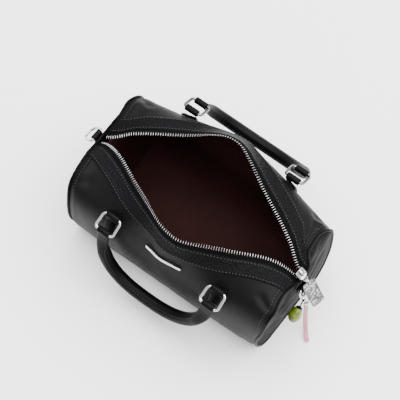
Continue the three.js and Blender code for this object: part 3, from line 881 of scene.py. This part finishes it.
# end panels, their lining and the piping around them
ends = {"left": -1, "right": 1}
panel = {
    "rimInset": 4.3, "bulge": 5, "centreZ": 60, "lift": 0.5, "wallShare": 0.86, "rimShort": 2,
    "spokes": 128, "rings": 26, "seatBulge": 8, "seatWide": 24, "seatTall": 34,
    "dimple": 2.4, "dimpleWide": 0.035, "dimpleTall": 0.04,
}
gather = {"depth": 1.7, "folds": 46, "fold": 0.9, "uneven": 22}
pipe = {"radius": 1.5, "beyond": 1.1, "sunk": 0.2, "steps": 150}
endLining = {"inset": 4.2, "bulge": 6, "x": 114}
endStitch = {"station": 0.962, "up": 0.25, "from": 0.14, "to": 0.985}


def endRim(end, depth, share):
    # around an end seam: 0 at the front of the zip, 0.5 under the bottom, 1 at the back of the zip
    side = -1 if share < 0.5 else 1
    run = abs(share - 0.5) * 2
    offset = bag["turnDepth"] - depth
    if run < panel["wallShare"]:
        return onWall(end, side, run / panel["wallShare"], offset)
    across = (run - panel["wallShare"]) / (1 - panel["wallShare"]) * (bag["rim"] - panel["rimShort"])
    return onTop(end, side, across, offset)


def discPoint(end, rim, share, rimX, bulge):
    lean = rim.x - end * bag["halfLength"]
    out = rimX + bulge * (1 - share ** 2)
    return Vector((
        end * out + lean * share ** 3, rim.y * share, between(panel["centreZ"], rim.z, share),
    ))


def pucker(share, around):
    # gathers below the zip's end, strongest near the top of the rim
    top = smoothStep(abs(around - 0.5) * 2, 0.5, 0.95)
    band = hill(share, 0.3, 0.75, 0.9, 1)
    fold = math.sin(abs(around - 0.5) * gather["folds"]) * gather["fold"]
    return top * band * (fold + noise.noise((around * gather["uneven"], share * 3, 2))) * gather["depth"]


def buildDisc(name, spokes, rings, thickness, placeAt):
    disc = gridPiece(name, spokes, rings, lambda u, v: placeAt(u % 1, 1 - v))
    return grown(closeUp(disc, False), thickness)


def buildEnd(name, end):
    title = name.capitalize()
    rimX = bag["halfLength"] + pipe["beyond"] + panel["lift"]
    low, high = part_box("d_tab_" + name)
    seat = (low + high) / 2 / mm

    def panelAt(around, share):
        point = discPoint(end, endRim(end, panel["rimInset"], around), share, rimX, panel["bulge"])
        # full and plain under the strap ring's tab
        apart = math.hypot((point.y - seat.y) / panel["seatWide"], (point.z - seat.z) / panel["seatTall"])
        under = 1 - smoothStep(apart, 0.5, 1)
        spot = (point.y * panel["dimpleWide"], point.z * panel["dimpleTall"], end * 3)
        dimple = noise.noise(spot) * panel["dimple"] * (1 - share ** 4)
        fuller = (panel["seatBulge"] - panel["bulge"]) * (1 - share ** 2) * under
        point.x += end * (fuller - (pucker(share, around) + abs(dimple)) * (1 - under))
        return point

    def liningAt(around, share):
        rim = endRim(end, endLining["inset"], around)
        return discPoint(end, rim, share, endLining["x"], endLining["bulge"])

    leather = buildDisc("endPanel" + title, panel["spokes"], panel["rings"], bag["leather"], panelAt)
    # the end panels take the darker leather, painted shade
    dress(leather, endLeather, "leather", "end_panel_" + name)
    cloth = buildDisc("endLining" + title, panel["spokes"] // 2, panel["rings"] // 2, bag["lining"], liningAt)
    dress(cloth, liningCloth, "lining", "lining_end_" + name)
    depth = bag["turnDepth"] - pipe["sunk"]
    path = [endRim(end, depth, (k + 0.5) / pipe["steps"]) for k in range(pipe["steps"])]
    for point in path:
        point.x += end * pipe["beyond"]
    cord = tube("piping" + title, path, pipe["radius"], True)
    dress(cord, handleLeather, "leather", "piping_" + name)


def endStitches(name, end, side):
    # a row on the wall beside the end seam
    station = end * endStitch["station"]

    def pointAt(share):
        return onWall(station, side, share, endStitch["up"])

    def upAt(share):
        return upFrom(onWall, station, side, share)

    frames = rowFrames(pointAt, upAt, stitch["pitch"], endStitch["from"], endStitch["to"])
    sew("endStitches" + name.capitalize() + face(side).capitalize(), frames)


for name, end in ends.items():
    buildEnd(name, end)
    for side in (-1, 1):
        endStitches(name, end, side)
print("ends done")

# handles: tabs on the wall, rings in their folds and rolled arches on the rings
ring = {"wire": 1.6, "width": 22, "corner": 3.5, "gap": 0.3, "fold": 1.9, "foldSteps": 28}
tab = {
    "width": 16, "run": 0.19, "thick": 2.6, "standOff": 0.5, "tipFrom": 0.8, "tipWide": 0.72, "steps": 24,
    "stitchPitch": 2.6, "stitchInset": 2, "stitchFrom": 0.12, "stitchTo": 0.88, "stitchUp": 0.1,
}
handle = {
    "drop": 70, "width": 13, "depth": 14, "endWidth": 15, "endDepth": 4, "taper": 0.16, "flatUntil": 0.03,
    "squareness": 0.8, "roundness": 0.85, "section": 0.8, "welt": 0.9, "weltWide": 0.17,
    "steps": 90, "sides": 48, "closeUp": 0.06,
    "stitchAngle": 42, "stitchUp": 0.12, "stitchFrom": 0.1, "stitchTo": 0.9, "stitchLean": (0.65, 0.75),
}
# the back rings take the darker plate, which is painted shade
carriers = {
    "front": {"side": -1, "handleDown": 80, "handleAside": -4.5, "ringFinish": silverPlate},
    "back": {"side": 1, "handleDown": 68, "handleAside": 0, "ringFinish": dullPlate},
}
jointPlaces = {joint["name"]: Vector(joint["pos_m"]) / mm for joint in frame["joints"]}


def arc(x, y, radius, start, turn, steps):
    angles = [math.radians(start + turn * k / steps) for k in range(steps + 1)]
    return [(x + radius * math.cos(angle), y + radius * math.sin(angle)) for angle in angles]


def roundedLoop(halfWidth, reach, farCorner, nearCorner, steps=7):
    # a flat loop from its near bar outwards, as (across, outward) points
    near = halfWidth - nearCorner
    far = halfWidth - farCorner
    return [
        *arc(near, nearCorner, nearCorner, -90, 90, steps),
        *arc(far, reach - farCorner, farCorner, 0, 90, steps),
        *arc(-far, reach - farCorner, farCorner, 90, 90, steps),
        *arc(-near, nearCorner, nearCorner, 180, 90, steps),
    ]


def wireLoop(name, outline, origin, across, outward, radius):
    # points that fall on each other are left out
    points = [origin + across * x + outward * y for x, y in outline]
    pairs = zip(points, points[1:] + points[:1])
    return tube(name, [point for point, after in pairs if (after - point).length > 0.01], radius, True, 4)


def roundedBand(width, thick, steps=4):
    # section of a leather band: (across, up) points with round edges
    half = width / 2 - thick / 2
    return [*arc(half, 0, thick / 2, -90, 180, steps), *arc(-half, 0, thick / 2, 90, 180, steps)]


def foldBand(name, centre, width, inner, thick):
    # leather turned around a bar that runs along X
    def placeAt(u, x, up):
        angle = u * math.tau
        radius = inner + thick / 2 + up
        return centre + Vector((x, radius * math.cos(angle), radius * math.sin(angle)))

    return closeUp(sweep(name, ring["foldSteps"], roundedBand(width, thick), placeAt), False)


def nearestRun(station, side, place):
    runs = [k / 200 for k in range(201)]
    return min(runs, key=lambda run: (onWall(station, side, run, 0) - place).length)


def buildTab(name, side, hinge):
    half = bag["halfLength"]
    top = nearestRun(hinge.x / half, side, hinge)
    section = roundedBand(1, tab["thick"] / tab["width"])

    def placeAt(u, across, up):
        # the tongue's end is rounded
        tip = max(u - tab["tipFrom"], 0) / (1 - tab["tipFrom"])
        spread = between(tab["tipWide"], 1, math.sqrt(max(1 - tip * tip, 0)))
        x = hinge.x + across * tab["width"] * spread
        middle = tab["standOff"] + tab["thick"] / 2
        return onWall(x / half, side, top - tab["run"] * u, middle + up * tab["width"])

    tongue = closeUp(sweep(name + "Tongue", tab["steps"], section, placeAt))
    fold = foldBand(name + "Fold", hinge, tab["width"], ring["wire"] + ring["gap"], ring["fold"])
    return smooth(joinAll([tongue, fold], name)), top


def tabStitches(name, side, hinge, top):
    # down one side of the tongue, across and up the other
    half = bag["halfLength"]
    lift = tab["standOff"] + tab["thick"] + tab["stitchUp"]
    inset = tab["width"] / 2 - tab["stitchInset"]
    first = tab["stitchFrom"]
    last = tab["stitchTo"]
    corners = ((-inset, first), (-inset, last), (inset, last), (inset, first))
    up = upFrom(onWall, hinge.x / half, side, top - tab["run"] * 0.5)

    def pointAt(share):
        leg = min(int(share * 3), 2)
        x, down = Vector(corners[leg]).lerp(Vector(corners[leg + 1]), share * 3 - leg)
        return onWall((hinge.x + x) / half, side, top - tab["run"] * down, lift)

    sew(name, rowFrames(pointAt, lambda share: up, tab["stitchPitch"]))


def signedPower(value, power):
    return math.copysign(abs(value) ** power, value)


def archPoint(share, bars, outward, aside):
    angle = share * math.pi
    start, end = bars
    halfSpan = (end.x - start.x) / 2
    reach = -halfSpan * signedPower(math.cos(angle), handle["squareness"])
    nearest = ring["wire"] + ring["gap"] + ring["fold"] / 2
    bow = max(math.sin(angle), 0) ** handle["roundness"]
    depth = between(nearest, handle["drop"], bow)
    return (start + end) / 2 + acrossBag * (reach + aside * bow) + outward * depth


def archShare(u):
    # steps close up towards the ends, where the arch turns from the fold
    return u - math.sin(u * math.tau) * handle["closeUp"]


def archSection(share, angle):
    full = smoothStep(min(share, 1 - share), handle["flatUntil"], handle["taper"])
    width = between(handle["endWidth"], handle["width"], full) / 2
    depth = between(handle["endDepth"], handle["depth"], full) / 2
    x = width * signedPower(math.cos(angle), handle["section"])
    y = depth * signedPower(math.sin(angle), handle["section"])
    x += full * handle["welt"] * math.exp(-(math.remainder(angle, math.tau) / handle["weltWide"]) ** 2)
    return x, y


def archFrame(share, arch):
    step = 0.004
    low = max(share - step, 0)
    high = min(share + step, 1)
    along = (archPoint(high, **arch) - archPoint(low, **arch)).normalized()
    normal = acrossBag.cross(arch["outward"])
    return archPoint(share, **arch), along.cross(normal).normalized(), normal


def buildHandle(name, arch):
    def placeAt(u, v):
        share = archShare(u)
        place, out, normal = archFrame(share, arch)
        x, y = archSection(share, v * math.tau)
        return place + out * x + normal * y

    roll = closeUp(gridPiece(name + "Roll", handle["steps"], handle["sides"], placeAt))
    folds = [
        foldBand(name + "Fold" + str(k), bar, handle["endWidth"], ring["wire"] + ring["gap"], ring["fold"])
        for k, bar in enumerate(arch["bars"])
    ]
    return smooth(joinAll([roll, *folds], name))


def handleStitches(name, arch, facing, body):
    # a row beside the welt, on one face of the handle
    angle = math.radians(handle["stitchAngle"]) * facing
    leanOut, leanUp = handle["stitchLean"]

    def pointAt(share):
        place, out, normal = archFrame(share, arch)
        x, y = archSection(share, angle)
        return place + out * x + normal * (y + handle["stitchUp"] * facing)

    def upAt(share):
        place, out, normal = archFrame(share, arch)
        return normal * facing * leanUp + out * leanOut

    sew(name, rowFrames(pointAt, upAt, stitch["pitch"], handle["stitchFrom"], handle["stitchTo"]), body)


def buildCarrier(where, carrier):
    side = carrier["side"]
    hingeLine = jointPlaces[where + "_rings_swing"]
    barLine = jointPlaces[where + "_handle_swing"]
    ringOut = (barLine - hingeLine).normalized()
    reach = (barLine - hingeLine).length
    title = where.capitalize()
    bars = []
    for hand in ("left", "right"):
        spot = where + "_" + hand
        low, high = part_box("ring_" + spot)
        shift = acrossBag * ((low.x + high.x) / 2 / mm)
        label = title + hand.capitalize()
        tongue, top = buildTab("tab" + label, side, hingeLine + shift)
        dress(tongue, handleLeather, "leather", "tab_" + spot)
        tabStitches("tabStitches" + label, side, hingeLine + shift, top)
        outline = roundedLoop(ring["width"] / 2, reach, ring["corner"], ring["corner"])
        loop = wireLoop("ring" + label, outline, hingeLine + shift, acrossBag, ringOut, ring["wire"])
        dress(loop, carrier["ringFinish"], "metal", "ring_" + spot, body=where + "_rings")
        bars.append(barLine + shift)
    outward = turned(throughBag * side, -upright, carrier["handleDown"])
    arch = {"bars": bars, "outward": outward, "aside": carrier["handleAside"]}
    roll = buildHandle("handle" + title, arch)
    dress(roll, handleLeather, "leather", "handle_" + where, body=where + "_handle")
    for facing, letter in ((1, "A"), (-1, "B")):
        handleStitches("handleStitches" + title + letter, arch, facing, where + "_handle")


for where, carrier in carriers.items():
    buildCarrier(where, carrier)
print("handles done")

# front bar, strap rings and their tabs
strapRing = {"wire": 1.3, "halfWidth": 9, "reach": 16, "corner": 2.5, "down": {"left": 40, "right": 78}}
edgeOf = {"bar": 0.5, "strapTab": 0.45}

dress(nodeCopy("front_bar", "frontBar", edgeOf["bar"]), silverPlate, "metal", "front_bar")


def buildStrapRing(name, end):
    title = name.capitalize()
    tongue = nodeCopy("d_tab_" + name, "strapTab" + title, edgeOf["strapTab"])
    dress(tongue, handleLeather, "leather", "d_tab_" + name)
    low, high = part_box("d_ring_" + name)
    outward = turned(acrossBag * end, -upright, strapRing["down"][name])
    wire = strapRing["wire"]
    hinge = Vector((low.x / mm + wire, (low.y + high.y) / 2 / mm, high.z / mm - wire))
    body = "bag"
    if name == "left":
        hinge = jointPlaces["left_strap_ring_swing"]
        body = "left_strap_ring"
    half = strapRing["halfWidth"]
    outline = roundedLoop(half, strapRing["reach"], half, strapRing["corner"], 10)
    loop = wireLoop("strapRing" + title, outline, hinge, throughBag, outward, wire)
    dress(loop, silverPlate, "metal", "d_ring_" + name, body=body)


for name, end in ends.items():
    buildStrapRing(name, end)
print("strap rings done")

# zip slider on the ends of the two rows, with a bridge for the pull's ring
slider = {
    "tail": 0.93, "nose": 0.995, "above": 3, "high": 3, "bridgeLong": 7.5, "bridgeHigh": 2.6, "bridge": 2.4,
    "bridgeThick": 0.8, "bridgeBack": 1.2, "bridgeSunk": 0.4, "bridgeRound": 0.6, "bridgeSteps": 20,
    "border": 1.3, "sunk": 0.7, "edge": 0.4,
}


def sinkFaces(piece, facing, border, sunk):
    # faces that look this way, or the opposite way, sink inside a border
    pickFaces(piece, lambda normal: abs(normal.dot(facing)) > 0.95)
    bpy.ops.mesh.inset(thickness=border * mm, depth=-sunk * mm)
    setMode("OBJECT")


def rowMiddle(station):
    return (onTop(station, -1, bag["rim"], 0) + onTop(station, 1, bag["rim"], 0)) / 2


def buildSlider():
    nose = rowMiddle(slider["nose"])
    along = (nose - rowMiddle(slider["tail"])).normalized()
    up = Vector((-along.z, 0, along.x))
    across = up.cross(along)
    top = nose + up * (slider["above"] + slider["high"])

    def placeAt(u, side, thick):
        angle = math.pi * u
        bow = math.sin(angle) ** slider["bridgeRound"]
        rise = (slider["bridgeHigh"] + thick) * bow - slider["bridgeSunk"]
        run = slider["bridgeLong"] * (0.5 + 0.5 * math.cos(angle)) + thick * math.cos(angle)
        return top - along * (slider["bridgeBack"] + run) + up * rise + across * side

    section = roundedBand(slider["bridge"], slider["bridgeThick"])
    bridge = closeUp(sweep("sliderBridge", slider["bridgeSteps"], section, placeAt))
    body = mergedCopy("zip_slider", "zipSlider")
    sinkFaces(body, up, slider["border"], slider["sunk"])
    roundEdges(body, slider["edge"], 2)
    whole = smooth(joinAll([body, bridge], "zipSlider"), 45)
    dress(whole, silverPlate, "metal", "zip_slider")


buildSlider()

# pull plate: blank, with a raised border
pullPlate = {"down": 50, "aside": -12, "border": 1.6, "sunk": 0.22, "edge": 0.25, "ringWire": 0.7}


def buildPlate():
    normal = turned(upright, turned(acrossBag, throughBag, pullPlate["aside"]), pullPlate["down"])
    piece = mergedCopy("pull_plate", "pullPlate")
    sinkFaces(piece, normal, pullPlate["border"], pullPlate["sunk"])
    roundEdges(piece, pullPlate["edge"], 2)
    dress(smooth(piece, 35), hammeredPlate, "metal", "pull_plate")


def circle(centre, first, second, radius, steps):
    return [centre + turned(first, second, 360 * k / steps) * radius for k in range(steps)]


def buildPullRing():
    # at its CAD place, square to the plate
    low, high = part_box("pull_ring")
    wire = pullPlate["ringWire"]
    across = turned(acrossBag, throughBag, pullPlate["aside"])
    points = circle((low + high) / 2 / mm, across, upright, (high.z - low.z) / 2 / mm - wire, 40)
    dress(tube("pullRing", points, wire, True, 3), silverPlate, "metal", "pull_ring")


buildPlate()
buildPullRing()
print("slider and pull done")

# charms on the right strap ring: a long link, a green bead and a pink ribbon
charmLink = {"wire": 0.8, "loop": 4}
eye = {"wire": 0.45, "clear": 0.75}
ribbon = {
    "wide": 5, "thick": 0.8, "eyeAngle": -60, "heading": -45, "eyeDepth": 1.4, "length": 0.0673,
    # the route to the floor: distance out along the heading, and drop
    "route": (
        (0, 0), (0, 5.5), (0.2, 11), (0.5, 16.5), (1, 22), (1.7, 27.4), (2.6, 32.6), (3.7, 37.7),
        (5.2, 42.6), (7.1, 47), (9.5, 50.6), (12.4, 53.3), (15.8, 55), (19.5, 55.9), (23, 56.2),
    ),
    "steps": 70, "ripple": 0.25, "ripples": 21,
    "crimp": (2.2, 5.8, 4.6), "crimpEdge": 0.6, "crimpDown": 0.55,
}
bead = {
    "across": 13, "tall": 20, "cord": 1, "cordLong": 6, "lean": 48, "eyeAngle": -122, "eyeDepth": 1.4,
    "pear": 0.12, "ribs": 9, "rib": 0.12,
    "capShare": 0.2, "capOver": 0.35, "capThick": 0.3, "cordRadius": 0.7, "cordSteps": 8,
    "grid": (72, 36), "capGrid": (48, 12),
}


def linkFoot():
    low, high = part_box("charm_link")
    middle = (low + high) / 2 / mm
    return Vector((middle.x, middle.y, low.z / mm + charmLink["wire"] + charmLink["loop"]))


def eyeDirection(degrees):
    return turned(acrossBag, upright, degrees)


def eyePlace(degrees):
    return linkFoot() + eyeDirection(degrees) * charmLink["loop"]


def eyeRing(name, degrees):
    # a small ring around the link's wire
    radius = charmLink["wire"] + eye["clear"]
    points = circle(eyePlace(degrees), eyeDirection(degrees), throughBag, radius, 20)
    return tube(name, points, eye["wire"], True, 2)


def buildLink():
    low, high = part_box("charm_link")
    wire = charmLink["wire"]
    loop = charmLink["loop"]
    top = Vector((linkFoot().x, linkFoot().y, high.z / mm - wire))
    outline = roundedLoop(loop, (high.z - low.z) / mm - 2 * wire, loop, loop, 10)
    link = wireLoop("charmLink", outline, top, acrossBag, -upright, wire)
    dress(link, silverPlate, "metal", "charm_link")


def routeAt(share):
    spots = [Vector(spot) for spot in ribbon["route"]]
    place = share * (len(spots) - 1)
    k = min(int(place), len(spots) - 2)
    before = spots[max(k - 1, 0)]
    beyond = spots[min(k + 2, len(spots) - 1)]
    return cubic(before, spots[k], spots[k + 1], beyond, (1, 1, 1), place - k)


def buildRibbon():
    out = turned(acrossBag, throughBag, ribbon["heading"])
    across = upright.cross(out)
    start = eyePlace(ribbon["eyeAngle"]) - upright * ribbon["eyeDepth"]

    def lineAt(share):
        reach, drop = routeAt(share)
        return start + out * reach - upright * drop

    def placeAt(u, side, thick):
        step = 0.01
        slope = lineAt(min(u + step, 1)) - lineAt(max(u - step, 0))
        normal = slope.cross(across).normalized()
        ripple = ribbon["ripple"] * math.sin(u * ribbon["ripples"]) * side / ribbon["wide"]
        return lineAt(u) + across * side + normal * (thick + ripple)

    steps = ribbon["steps"]
    section = roundedBand(ribbon["wide"], ribbon["thick"])
    satin = smooth(closeUp(sweep("pinkRibbon", steps, section, placeAt)), 60)
    dress(satin, ribbonSatin, "ribbon", "pink_ribbon")
    path = [lineAt(k / steps) * mm for k in range(steps + 1)]
    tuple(path[0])
    clip = boxPiece("ribbonCrimp", *ribbon["crimp"])
    editAll(clip)
    bpy.ops.mesh.subdivide(number_cuts=2)
    setMode("OBJECT")
    roundEdges(clip, ribbon["crimpEdge"], 3)
    clip.data.transform(Matrix.Rotation(math.radians(ribbon["heading"]), 4, "Z"))
    middle = start - upright * ribbon["crimp"][2] * ribbon["crimpDown"]
    clip.data.transform(Matrix.Translation(middle * mm))
    loop = eyeRing("ribbonEye", ribbon["eyeAngle"])
    dress(smooth(joinAll([clip, loop], "ribbonCrimp"), 40), silverPlate, "metal")


def buildBead():
    down = turned(-upright, -throughBag, bead["lean"])
    front = acrossBag.cross(down)
    start = eyePlace(bead["eyeAngle"]) + down * (bead["eyeDepth"] + bead["cord"] / 2)
    top = start + down * bead["cordLong"]

    def beadPoint(share, turn, grow):
        angle = math.pi * share
        radius = bead["across"] / 2 * math.sin(angle) * (1 - bead["pear"] * math.cos(angle))
        radius += (bead["rib"] * math.cos(turn * bead["ribs"]) + grow) * math.sin(angle)
        along = bead["tall"] * (0.5 - 0.5 * math.cos(angle))
        return top + down * along + (acrossBag * math.cos(turn) + front * math.sin(turn)) * radius

    def capPoint(u, v):
        return beadPoint(v * bead["capShare"], u * math.tau, bead["capOver"]) - down * bead["capOver"]

    stone = closeUp(gridPiece("greenBead", *bead["grid"], lambda u, v: beadPoint(v, u * math.tau, 0)))
    dress(smooth(stone, 60), greenGloss, "bead", "green_bead")
    cap = closeUp(gridPiece("beadCap", *bead["capGrid"], capPoint), False)
    faceAway(cap, top + down * bead["tall"] / 2)
    thicken(cap, bead["capThick"])
    steps = bead["cordSteps"]
    cord = tube("beadCord", [start.lerp(top, k / steps) for k in range(steps + 1)], bead["cordRadius"])
    loop = eyeRing("beadEye", bead["eyeAngle"])
    dress(smooth(joinAll([cap, cord, loop], "beadCap")), handleLeather, "leather")


buildLink()
buildRibbon()
buildBead()
print("charms done")

# floor and studio light
studio = {
    "floor": (0.965, 0.965, 0.967), "floorShade": 0.985, "floorSize": 8, "floorDown": 0.0003, "sky": 1.15,
}
lights = {
    "keyLight": {"place": (0.3, 0.8, 3.0), "size": 4.6, "power": 520},
    "sideLight": {"place": (1.5, 0.7, 0.8), "size": 0.8, "power": 1.6},
}
lightAim = Vector((0, 0, 0.05))


@finish
def floorFinish(wire, place, look):
    cloud = noiseOn(wire, place, 3, 2)
    shaded = tuple(value * studio["floorShade"] for value in studio["floor"])
    return {"Base Color": cloud.tint(shaded, studio["floor"]), "Roughness": 0.9}


def addFloor():
    deselect()
    bpy.ops.mesh.primitive_grid_add(
        x_subdivisions=4, y_subdivisions=4, size=studio["floorSize"], location=(0, 0, -studio["floorDown"]),
    )
    floor = added("studioFloor")
    floor.data.materials.append(floorFinish("paleFloor"))


def addLight(name, look):
    bpy.ops.object.light_add(type="AREA", location=look["place"])
    light = added(name)
    light.data.size = look["size"]
    light.data.energy = look["power"]
    light.rotation_euler = (Vector(look["place"]) - lightAim).to_track_quat("Z", "Y").to_euler()


def addSky():
    world = bpy.data.worlds.new("studioSky")
    world.use_nodes = True
    background = world.node_tree.nodes["Background"]
    background.inputs["Color"].default_value = (1, 1, 1, 1)
    background.inputs["Strength"].default_value = studio["sky"]
    bpy.context.scene.world = world


addFloor()
addSky()
for name, look in lights.items():
    addLight(name, look)
print("studio done")
